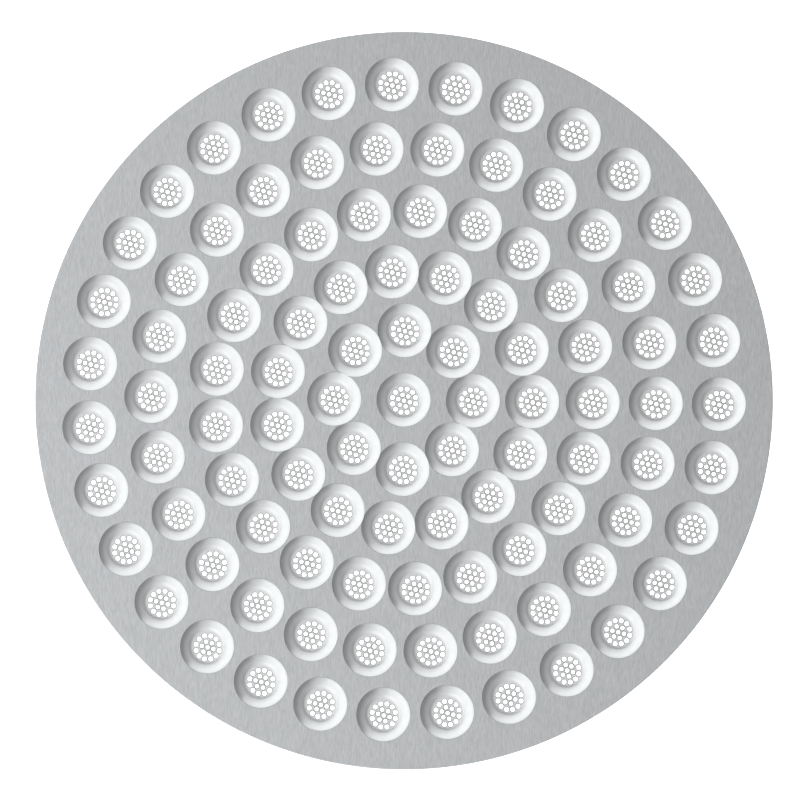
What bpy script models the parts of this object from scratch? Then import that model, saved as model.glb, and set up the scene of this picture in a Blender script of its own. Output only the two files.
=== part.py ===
"""Espresso puck screen: a thin stainless disc with rings of round wells.

The disc lies on the plane z = 0 with its wells facing up (+Z).
The origin is the centre of the flat underside. Lengths are in metres.
"""

import math

import bmesh
import bpy
from mathutils import Matrix

# Disc
DISC_DIAMETER = 0.0585
DISC_THICKNESS = 0.0008
DISC_SIDES = 96

# Wells: round dishes with a thin flat floor and a wall that curves up to a sharp lip
WELL_DIAMETER = 0.00428
WELL_FLOOR_DIAMETER = 0.00234
WELL_FLOOR_THICKNESS = 0.00025
WELL_SIDES = 12
WALL_STEPS = 2

# Fine holes in each floor, which one opening of the same area stands for
FINE_HOLE_DIAMETER = 0.0004
FINE_HOLES_PER_WELL = 19
OPENING_SIDES = 8

# Rings of wells round the one at the centre: (how many, radius)
INNER_RINGS = (
    (8, 0.0055),
    (15, 0.0102),
    (21, 0.0150),
    (26, 0.0200),
)
# The last ring, and the bare land between its wells and the disc's edge
OUTER_RING_WELLS = 31
RIM_LAND = 0.00211
# Every ring starts on one line, turned a little from +X
PATTERN_TURN = math.radians(-0.78)
# Each well is also turned on its own axis, so that the facets of neighbours that meet differ
WELL_TURN = math.radians(3)

# How far a cutter reaches past the face that it cuts
CUTTER_OVERRUN = 0.0003

STEEL_COLOUR = (0.47, 0.48, 0.49, 1.0)
STEEL_ROUGHNESS = 0.38


def clear_scene():
    for scene_object in list(bpy.data.objects):
        bpy.data.objects.remove(scene_object, do_unlink=True)


def new_collection(name):
    collection = bpy.data.collections.new(name)
    bpy.context.scene.collection.children.link(collection)
    return collection


def mesh_from(bm, name):
    mesh = bpy.data.meshes.new(name)
    bm.to_mesh(mesh)
    bm.free()
    return mesh


def steel_material():
    material = bpy.data.materials.new("brushed_stainless_steel")
    material.use_nodes = True
    shader = material.node_tree.nodes["Principled BSDF"]
    shader.inputs["Base Color"].default_value = STEEL_COLOUR
    shader.inputs["Metallic"].default_value = 1.0
    shader.inputs["Roughness"].default_value = STEEL_ROUGHNESS
    return material


def ring_places(count, radius):
    """Places evenly round a ring."""
    outwards = Matrix.Translation((radius, 0.0, 0.0)) @ Matrix.Rotation(WELL_TURN, 4, "Z")
    for step in range(count):
        turn = Matrix.Rotation(PATTERN_TURN + math.tau * step / count, 4, "Z")
        yield turn @ outwards


def well_places():
    """Places of all wells: the centre, the inner rings that leave room, the outer ring."""
    outer_radius = DISC_DIAMETER / 2 - RIM_LAND - WELL_DIAMETER / 2
    places = list(ring_places(1, 0.0))
    for count, radius in INNER_RINGS:
        if radius + WELL_DIAMETER <= outer_radius:
            places += ring_places(count, radius)
    places += ring_places(OUTER_RING_WELLS, outer_radius)
    return places


def well_profile():
    """Wall of the space in a well, from above the disc down to the edge of the floor.

    It is an arc that leaves the floor level and steepens towards the lip.
    """
    lip = WELL_DIAMETER / 2
    floor_edge = WELL_FLOOR_DIAMETER / 2
    run = lip - floor_edge
    rise = DISC_THICKNESS - WELL_FLOOR_THICKNESS
    arc_angle = 2 * math.atan2(rise, run)
    arc_radius = run / math.sin(arc_angle)
    points = [(lip, DISC_THICKNESS + CUTTER_OVERRUN)]
    for step in range(WALL_STEPS, -1, -1):
        angle = arc_angle * step / WALL_STEPS
        x = floor_edge + arc_radius * math.sin(angle)
        z = WELL_FLOOR_THICKNESS + arc_radius * (1 - math.cos(angle))
        points.append((x, z))
    return points


def turned_mesh(name, profile, sides):
    """Closed mesh of a wall in the XZ plane, turned about Z and capped at both ends."""
    bm = bmesh.new()
    verts = [bm.verts.new((x, 0.0, z)) for x, z in profile]
    for start, end in zip(verts, verts[1:]):
        bm.edges.new((start, end))
    turned = bpy.data.objects.new(name, mesh_from(bm, name))
    bpy.context.scene.collection.objects.link(turned)
    screw = turned.modifiers.new("turn", "SCREW")
    screw.steps = sides
    screw.render_steps = sides
    screw.use_merge_vertices = True
    screw.merge_threshold = 0.000001
    evaluated = turned.evaluated_get(bpy.context.evaluated_depsgraph_get())
    bm = bmesh.new()
    bm.from_mesh(evaluated.to_mesh())
    bpy.data.objects.remove(turned, do_unlink=True)
    bmesh.ops.holes_fill(bm, edges=bm.edges, sides=sides)
    bmesh.ops.recalc_face_normals(bm, faces=bm.faces)
    return mesh_from(bm, name)


def cylinder_mesh(name, radius, bottom, top, sides):
    bm = bmesh.new()
    bmesh.ops.create_cone(
        bm,
        cap_ends=True,
        segments=sides,
        radius1=radius,
        radius2=radius,
        depth=top - bottom,
        matrix=Matrix.Translation((0.0, 0.0, (top + bottom) / 2)),
    )
    return mesh_from(bm, name)


def opening_radius():
    """Corner radius of a regular polygon with the area of all the fine holes of a well."""
    hole_area = FINE_HOLES_PER_WELL * math.pi * (FINE_HOLE_DIAMETER / 2) ** 2
    unit_polygon_area = OPENING_SIDES / 2 * math.sin(math.tau / OPENING_SIDES)
    return math.sqrt(hole_area / unit_polygon_area)


def repeated_cutter(name, unit, places, collection):
    """One cutter that holds a copy of the unit mesh at each place."""
    bm = bmesh.new()
    for place in places:
        first_new = len(bm.verts)
        bm.from_mesh(unit)
        bm.verts.ensure_lookup_table()
        bmesh.ops.transform(bm, matrix=place, verts=bm.verts[first_new:])
    cutter = bpy.data.objects.new(name, mesh_from(bm, name))
    cutter.hide_render = True
    cutter.display_type = "WIRE"
    collection.objects.link(cutter)
    return cutter


def cut(target, cutter, copies_meet=False):
    boolean = target.modifiers.new(cutter.name, "BOOLEAN")
    boolean.operation = "DIFFERENCE"
    boolean.solver = "EXACT"
    boolean.use_self = copies_meet
    boolean.object = cutter


def build():
    clear_scene()
    parts = new_collection("espresso_puck_screen")
    cutters = new_collection("cutters")

    disc_mesh = cylinder_mesh("puck_screen", DISC_DIAMETER / 2, 0.0, DISC_THICKNESS, DISC_SIDES)
    disc_mesh.materials.append(steel_material())
    disc = bpy.data.objects.new("puck_screen", disc_mesh)
    parts.objects.link(disc)

    # Neighbours in the innermost ring just run into each other at their lips
    places = well_places()
    well = turned_mesh("well", well_profile(), WELL_SIDES)
    cut(disc, repeated_cutter("wells", well, places, cutters), copies_meet=True)

    opening = cylinder_mesh(
        "opening",
        opening_radius(),
        -CUTTER_OVERRUN,
        WELL_FLOOR_THICKNESS + CUTTER_OVERRUN,
        OPENING_SIDES,
    )
    cut(disc, repeated_cutter("openings", opening, places, cutters))

    disc_mesh.shade_smooth()
    disc_mesh.set_sharp_from_angle(angle=math.radians(30))


build()
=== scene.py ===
import math

import bmesh
import bpy
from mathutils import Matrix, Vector


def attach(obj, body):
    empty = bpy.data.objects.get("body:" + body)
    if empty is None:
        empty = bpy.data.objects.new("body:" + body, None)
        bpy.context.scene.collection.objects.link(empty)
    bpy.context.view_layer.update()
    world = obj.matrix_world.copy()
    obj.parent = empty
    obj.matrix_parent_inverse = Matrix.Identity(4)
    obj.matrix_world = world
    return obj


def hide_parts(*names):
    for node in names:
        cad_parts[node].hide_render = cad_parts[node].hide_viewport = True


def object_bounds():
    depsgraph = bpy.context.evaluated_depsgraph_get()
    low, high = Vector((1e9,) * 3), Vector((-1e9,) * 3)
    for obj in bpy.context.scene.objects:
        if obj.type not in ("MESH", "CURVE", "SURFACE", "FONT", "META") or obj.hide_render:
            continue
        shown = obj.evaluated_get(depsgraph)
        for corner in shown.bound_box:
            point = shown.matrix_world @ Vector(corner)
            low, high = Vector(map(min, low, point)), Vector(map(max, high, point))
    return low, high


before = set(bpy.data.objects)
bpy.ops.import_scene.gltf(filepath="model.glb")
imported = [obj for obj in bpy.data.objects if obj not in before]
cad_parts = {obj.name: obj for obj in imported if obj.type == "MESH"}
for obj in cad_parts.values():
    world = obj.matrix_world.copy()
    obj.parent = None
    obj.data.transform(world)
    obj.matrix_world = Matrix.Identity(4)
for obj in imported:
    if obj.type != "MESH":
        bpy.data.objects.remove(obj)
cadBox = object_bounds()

mm = 0.001


def addNode(tree, kind, settings=None, links=None):
    # settings go to sockets where the name or number is one, otherwise to the node itself
    node = tree.nodes.new(kind)
    for key, value in (settings or {}).items():
        if isinstance(key, int) or key in node.inputs:
            node.inputs[key].default_value = value
        else:
            setattr(node, key, value)
    for key, source in (links or {}).items():
        tree.links.new(source, node.inputs[key])
    return node


def toLinear(hexColour):
    # sRGB hex to the linear colour that shader sockets take
    channels = [int(hexColour[i:i + 2], 16) / 255 for i in (1, 3, 5)]
    return (*[c / 12.92 if c <= 0.04045 else ((c + 0.055) / 1.055) ** 2.4 for c in channels], 1.0)


def emptyMaterial(name):
    material = bpy.data.materials.new(name)
    material.use_nodes = True
    material.node_tree.nodes.clear()
    return material, material.node_tree


# Camera: straight down and square on, with the disc where it is in the photo's frame
camera = {
    "framePixels": 800,
    "discPixels": 738.0,              # across the disc
    "centrePixels": (404.0, 400.7),   # of the disc, from the frame's upper left corner
    "height": 0.5,
    "nearest": 0.01,
}


def placeCamera():
    metresPerPixel = (cadBox[1][0] - cadBox[0][0]) / camera["discPixels"]
    middle = camera["framePixels"] / 2
    data = bpy.data.cameras.new("camera")
    data.type = "ORTHO"
    data.ortho_scale = camera["framePixels"] * metresPerPixel
    data.clip_start = camera["nearest"]
    eye = bpy.data.objects.new("camera", data)
    eye.location = (
        (middle - camera["centrePixels"][0]) * metresPerPixel,
        (camera["centrePixels"][1] - middle) * metresPerPixel,
        camera["height"],
    )
    bpy.context.scene.collection.objects.link(eye)
    bpy.context.scene.camera = eye


# Steel mirrors a little less at a glancing angle than an ideal metal. Here it is less still, so that
# the screen stays visible against the white table when it is seen from low down
edgeTint = (0.7, 0.7, 0.7, 1.0)
noiseRange = (0.3, 0.7)             # most of a noise texture's values lie between these

# Flat faces: stainless steel sheet brushed one way, so fine straight streaks and blurred reflections
brushed = {
    "colour": "#B6B8BA",
    "roughness": 0.36,
    "roughnessSpread": 0.04,
    "streakWidth": 0.045 * mm,      # real brushing is finer, this is as fine as shows
    "streakLength": 0.55 * mm,
    "streakDetail": 4.0,
    "streakBreakUp": 0.6,           # how much its finer detail counts
    "streakTone": 0.18,             # how much lighter and darker than the colour
    "streakDepth": 0.004 * mm,
    "streakStrength": 0.25,
}


def brushedStainless():
    material, tree = emptyMaterial("brushedStainless")
    place = addNode(tree, "ShaderNodeTexCoord")
    stretched = addNode(tree, "ShaderNodeMapping", {"Scale": (
        1 / brushed["streakWidth"], 1 / brushed["streakLength"], 1 / brushed["streakLength"],
    )}, {"Vector": place.outputs["Object"]})
    streaks = addNode(tree, "ShaderNodeTexNoise", {
        "Scale": 1.0, "Detail": brushed["streakDetail"], "Roughness": brushed["streakBreakUp"],
    }, {"Vector": stretched.outputs["Vector"]})
    tone = addNode(tree, "ShaderNodeMapRange", {
        "From Min": noiseRange[0], "From Max": noiseRange[1],
        "To Min": 1 - brushed["streakTone"], "To Max": 1 + brushed["streakTone"],
    }, {"Value": streaks.outputs["Fac"]})
    # sockets 6 and 7 of a Mix node are its two colours, and output 2 is the mixed one
    colour = addNode(tree, "ShaderNodeMix", {
        "data_type": "RGBA", "blend_type": "MULTIPLY", "Factor": 1.0, 6: toLinear(brushed["colour"]),
    }, {7: tone.outputs["Result"]})
    roughness = addNode(tree, "ShaderNodeMapRange", {
        "From Min": noiseRange[0], "From Max": noiseRange[1],
        "To Min": brushed["roughness"] - brushed["roughnessSpread"],
        "To Max": brushed["roughness"] + brushed["roughnessSpread"],
    }, {"Value": streaks.outputs["Fac"]})
    grooves = addNode(tree, "ShaderNodeBump", {
        "Strength": brushed["streakStrength"], "Distance": brushed["streakDepth"],
    }, {"Height": streaks.outputs["Fac"]})
    shader = addNode(tree, "ShaderNodeBsdfPrincipled", {"Metallic": 1.0, "Specular Tint": edgeTint}, {
        "Base Color": colour.outputs[2], "Roughness": roughness.outputs["Result"],
        "Normal": grooves.outputs["Normal"],
    })
    addNode(tree, "ShaderNodeOutputMaterial", None, {"Surface": shader.outputs["BSDF"]})
    return material


# Wells: the same steel, taken to be etched away, so an even satin without streaks
etched = {
    "colour": "#CED0D1",
    "roughness": 0.38,
    "roughnessSpread": 0.03,
    "grain": 0.05 * mm,
    "grainDetail": 2.0,
    "grainDepth": 0.002 * mm,
    "grainStrength": 0.2,
}


def etchedStainless():
    material, tree = emptyMaterial("etchedStainless")
    place = addNode(tree, "ShaderNodeTexCoord")
    grain = addNode(tree, "ShaderNodeTexNoise", {
        "Scale": 1 / etched["grain"], "Detail": etched["grainDetail"],
    }, {"Vector": place.outputs["Object"]})
    roughness = addNode(tree, "ShaderNodeMapRange", {
        "From Min": noiseRange[0], "From Max": noiseRange[1],
        "To Min": etched["roughness"] - etched["roughnessSpread"],
        "To Max": etched["roughness"] + etched["roughnessSpread"],
    }, {"Value": grain.outputs["Fac"]})
    pits = addNode(tree, "ShaderNodeBump", {
        "Strength": etched["grainStrength"], "Distance": etched["grainDepth"],
    }, {"Height": grain.outputs["Fac"]})
    shader = addNode(tree, "ShaderNodeBsdfPrincipled", {
        "Metallic": 1.0, "Specular Tint": edgeTint, "Base Color": toLinear(etched["colour"]),
    }, {"Roughness": roughness.outputs["Result"], "Normal": pits.outputs["Normal"]})
    addNode(tree, "ShaderNodeOutputMaterial", None, {"Surface": shader.outputs["BSDF"]})
    return material


# Walls of the fine holes: rough steel with a near-black colour, which is painted shade standing in for
# the darkness inside the narrow holes
holeWallShade = {"colour": "#26282A", "roughness": 0.6}


def paintedShadeHoleWall():
    material, tree = emptyMaterial("paintedShadeHoleWall")
    # painted shade: the near-black base colour darkens the hole walls in place of real shading
    shader = addNode(tree, "ShaderNodeBsdfPrincipled", {
        "Metallic": 1.0, "Base Color": toLinear(holeWallShade["colour"]),
        "Roughness": holeWallShade["roughness"],
    })
    addNode(tree, "ShaderNodeOutputMaterial", None, {"Surface": shader.outputs["BSDF"]})
    return material


# The screen: a thin disc, its wells, and the cluster of fine holes in the floor of each
screen = {
    "diameter": 58.5 * mm,
    "thickness": 0.8 * mm,
    "edgeBreak": 0.05 * mm,         # the outer edge is only just not sharp
    "edgeSteps": 3,
    "edgeSides": 256,
    # how many wells, and their ring's radius
    "rings": (
        (1, 0.0), (8, 5.5 * mm), (15, 10.2 * mm),
        (21, 15.0 * mm), (26, 20.0 * mm), (31, 25.0 * mm),
    ),
    "turn": -0.78,                  # degrees from +X to the line that the rings start on
    # wells alternate between two batches round a ring, and the last of an odd count is in the third
    "batches": 3,
    "mergeDistance": 0.0005 * mm,
    "sharpAbove": 10,               # degrees between two faces
}
well = {
    "diameter": 4.30 * mm,
    "floorDiameter": 2.34 * mm,
    "depth": 0.55 * mm,
    "shift": Vector((-0.03, 0.07, 0)) * mm,     # from the middle of its cluster of holes
    "sides": 40,
    # from the floor outwards: how far, up to what slope in degrees, in how many steps
    "wall": ((0.30 * mm, 25, 3), (0.655 * mm, 46, 4), (0.025 * mm, 75, 1)),
}
fineHole = {
    # how many, ring radius, first angle in degrees, width below and above
    "rings": (
        (1, 0.0, 0, 0.36 * mm, 0.45 * mm),
        (6, 0.474 * mm, 45, 0.36 * mm, 0.45 * mm),
        (12, 0.945 * mm, 15, 0.40 * mm, 0.47 * mm),
    ),
    "sides": 12,
}
overrun = 0.3 * mm                  # how far a cutter goes past the face that it cuts
finishes = {"land": 0, "well": 1, "hole": 2}    # their material slots


def onRing(radius, degrees):
    return Vector((radius * math.cos(math.radians(degrees)), radius * math.sin(math.radians(degrees)), 0))


def wellCentres():
    # yields batch and centre: wells of one batch never meet, so each batch is one clean cut
    for count, radius in screen["rings"]:
        for k in range(count):
            isOddOne = k == count - 1 and count % 2
            batch = screen["batches"] - 1 if isOddOne else k % 2
            yield batch, onRing(radius, screen["turn"] + 360 * k / count)


def addTurned(bm, profile, sides, centre, finish):
    # closed body turned about an upright line through the centre, its profile listed upwards
    loops = [
        [bm.verts.new(centre + onRing(x, 360 * k / sides) + Vector((0, 0, z))) for k in range(sides)]
        for x, z in profile
    ]
    faces = [bm.faces.new(reversed(loops[0])), bm.faces.new(loops[-1])]
    for low, high in zip(loops, loops[1:]):
        for k in range(sides):
            n = (k + 1) % sides
            faces.append(bm.faces.new((low[k], low[n], high[n], high[k])))
    for face in faces:
        face.material_index = finishes[finish]


def addObject(name, bm, materials):
    mesh = bpy.data.meshes.new(name)
    bm.to_mesh(mesh)
    bm.free()
    for material in materials:
        mesh.materials.append(material)
    thing = bpy.data.objects.new(name, mesh)
    bpy.context.scene.collection.objects.link(thing)
    return thing


def discProfile():
    # the edge is rounded over below, and the same is mirrored above
    radius, corner = screen["diameter"] / 2, screen["edgeBreak"]
    below = []
    for step in range(screen["edgeSteps"] + 1):
        turn = math.radians(90 * step / screen["edgeSteps"])
        below.append((radius - corner + corner * math.sin(turn), corner - corner * math.cos(turn)))
    return below + [(x, screen["thickness"] - z) for x, z in reversed(below)]


def wellProfile():
    # upwards from the floor, along arcs that each take the slope a step further
    x, z, slope = well["floorDiameter"] / 2, screen["thickness"] - well["depth"], 0.0
    points = [(x, z)]
    for run, slopeDegrees, steps in well["wall"]:
        end = math.radians(slopeDegrees)
        radius = run / (math.sin(end) - math.sin(slope))
        for step in range(1, steps + 1):
            now = slope + (end - slope) * step / steps
            points.append((
                x + radius * (math.sin(now) - math.sin(slope)),
                z + radius * (math.cos(slope) - math.cos(now)),
            ))
        (x, z), slope = points[-1], end
    # the lip comes exactly to the top face
    rise = well["depth"] / (z - points[0][1])
    points = [(px, points[0][1] + (pz - points[0][1]) * rise) for px, pz in points]
    return points + [(well["diameter"] / 2, screen["thickness"] + overrun)]


def cut(target, tool):
    modifier = target.modifiers.new(tool.name, "BOOLEAN")
    modifier.operation = "DIFFERENCE"
    modifier.solver = "MANIFOLD"
    modifier.object = tool
    evaluated = target.evaluated_get(bpy.context.evaluated_depsgraph_get())
    result = bpy.data.meshes.new_from_object(evaluated)
    target.modifiers.clear()
    target.data = result
    bpy.data.objects.remove(tool, do_unlink=True)


def cutWells(thing, materials):
    profile = wellProfile()
    for batch in range(screen["batches"]):
        bm = bmesh.new()
        for wellBatch, centre in wellCentres():
            if wellBatch == batch:
                addTurned(bm, profile, well["sides"], centre + well["shift"], "well")
        cut(thing, addObject("wellCutter", bm, materials))
    print("puck screen: wells cut")


def cutFineHoles(thing, materials):
    # one cutter for all the holes, each carried on at its own taper past both faces of the floor
    bm = bmesh.new()
    floorTop = screen["thickness"] - well["depth"]
    for _, centre in wellCentres():
        for count, radius, first, below, above in fineHole["rings"]:
            spread = (above - below) / 2 * overrun / floorTop
            profile = [(below / 2 - spread, -overrun), (above / 2 + spread, floorTop + overrun)]
            for k in range(count):
                middle = centre + onRing(radius, first + 360 * k / count)
                addTurned(bm, profile, fineHole["sides"], middle, "hole")
    cut(thing, addObject("holeCutter", bm, materials))
    print("puck screen: fine holes cut")


def finishMesh(thing):
    # smooth walls, crisp lips and flat faces that shade flat
    bm = bmesh.new()
    bm.from_mesh(thing.data)
    bmesh.ops.remove_doubles(bm, verts=bm.verts, dist=screen["mergeDistance"])
    bmesh.ops.triangulate(bm, faces=[f for f in bm.faces if len(f.verts) > 4], ngon_method="BEAUTY")
    for face in bm.faces:
        face.smooth = True
    sharpAngle = math.radians(screen["sharpAbove"])
    for edge in bm.edges:
        inHole = all(face.material_index == finishes["hole"] for face in edge.link_faces)
        edge.smooth = inHole or edge.calc_face_angle(math.pi) < sharpAngle
    openEdges = sum(len(edge.link_faces) != 2 for edge in bm.edges)
    print("puck screen:", len(bm.calc_loop_triangles()), "triangles,", openEdges, "open edges")
    bm.to_mesh(thing.data)
    bm.free()


def makeScreen():
    materials = [brushedStainless(), etchedStainless(), paintedShadeHoleWall()]
    bm = bmesh.new()
    addTurned(bm, discProfile(), screen["edgeSides"], Vector(), "land")
    thing = addObject("puckScreen", bm, materials)
    cutWells(thing, materials)
    cutFineHoles(thing, materials)
    finishMesh(thing)
    return thing


# The screen lies on a white light table, which fills every hole with white
lightTable = {
    "colour": "#F2F2F2",
    "roughness": 0.6,
    "glow": 1.0,
    "size": 1.2,
    "gap": 0.05 * mm,
}


def makeLightTable():
    material, tree = emptyMaterial("opalGlass")
    shader = addNode(tree, "ShaderNodeBsdfPrincipled", {
        "Base Color": toLinear(lightTable["colour"]), "Roughness": lightTable["roughness"],
        "Emission Color": (1, 1, 1, 1), "Emission Strength": lightTable["glow"],
    })
    addNode(tree, "ShaderNodeOutputMaterial", None, {"Surface": shader.outputs["BSDF"]})
    bm = bmesh.new()
    bmesh.ops.create_grid(bm, x_segments=1, y_segments=1, size=lightTable["size"] / 2)
    table = addObject("floor", bm, [material])
    table.location.z = -lightTable["gap"]


# A soft white tent round the screen, brightest on the left
tent = {
    "brightSide": 160,              # degrees round from +X
    "distance": 0.5,
    "panelsRound": 12,
    # the upper wall swings evenly between its bright and its dim side
    "upperWall": {"height": 35, "size": (0.27, 0.24), "mean": 0.75, "swing": 0.45},
    # the lower wall is lit on one side only, and fades between these degrees away from it
    "lowerWall": {"height": 11, "size": (0.27, 0.19), "brightness": 1.7, "fade": (95, 125)},
    # strips side by side, each brighter than the one on its right, until the last is dark
    "ceiling": {
        "height": 0.3,
        "towardsBottom": 0.12,
        "strips": 5,
        "strip": (0.08, 0.4),
        "middle": 0.84,
        "perMetre": 5.6,
    },
    "room": 0.25,
    "horizon": 0.05,                # how far above and below level the room fades into the table's white
}


def addPanel(name, position, size, brightness):
    # faces the screen, and its brightness is the same whatever its size
    data = bpy.data.lights.new(name, "AREA")
    data.shape = "RECTANGLE"
    data.size, data.size_y = size
    data.energy = brightness * math.pi * size[0] * size[1]
    panel = bpy.data.objects.new(name, data)
    panel.location = position
    panel.rotation_euler = (-Vector(position)).to_track_quat("-Z", "Y").to_euler()
    panel.visible_camera = False
    bpy.context.scene.collection.objects.link(panel)
    return panel


def makeWalls():
    upper, lower = tent["upperWall"], tent["lowerWall"]
    start, end = lower["fade"]
    for k in range(tent["panelsRound"]):
        degrees = 360 * k / tent["panelsRound"]
        away = abs((degrees - tent["brightSide"] + 180) % 360 - 180)
        levels = (
            (upper, upper["mean"] + upper["swing"] * math.cos(math.radians(away))),
            (lower, lower["brightness"] * min(1, max(0, (end - away) / (end - start)))),
        )
        for wall, brightness in levels:
            if brightness > 0:
                up = math.radians(wall["height"])
                place = onRing(math.cos(up), degrees) + Vector((0, 0, math.sin(up)))
                addPanel("wallPanel", tent["distance"] * place, wall["size"], brightness)


def makeCeiling():
    ceiling = tent["ceiling"]
    for k in range(ceiling["strips"]):
        across = (k - (ceiling["strips"] - 1) / 2) * ceiling["strip"][0]
        brightness = ceiling["middle"] - ceiling["perMetre"] * across
        if brightness > 0:
            place = (across, -ceiling["towardsBottom"], ceiling["height"])
            strip = addPanel("ceilingStrip", place, ceiling["strip"], brightness)
            strip.rotation_euler = (0, 0, 0)    # straight down


def makeRoom():
    # the room is dim above the horizon and as white as the table below it
    world = bpy.data.worlds.new("tent")
    world.use_nodes = True
    tree = world.node_tree
    tree.nodes.clear()
    direction = addNode(tree, "ShaderNodeTexCoord")
    parts = addNode(tree, "ShaderNodeSeparateXYZ", None, {"Vector": direction.outputs["Generated"]})
    strength = addNode(tree, "ShaderNodeMapRange", {
        "From Min": -tent["horizon"], "From Max": tent["horizon"],
        "To Min": lightTable["glow"], "To Max": tent["room"],
    }, {"Value": parts.outputs["Z"]})
    background = addNode(tree, "ShaderNodeBackground", {"Color": (1, 1, 1, 1)},
                         {"Strength": strength.outputs["Result"]})
    addNode(tree, "ShaderNodeOutputWorld", None, {"Surface": background.outputs["Background"]})
    bpy.context.scene.world = world


placeCamera()
puckScreen = makeScreen()
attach(puckScreen, "root")
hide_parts("puck_screen")
makeLightTable()
makeWalls()
makeCeiling()
makeRoom()
bpy.context.scene.view_settings.view_transform = "Standard"
print("light table and tent set")
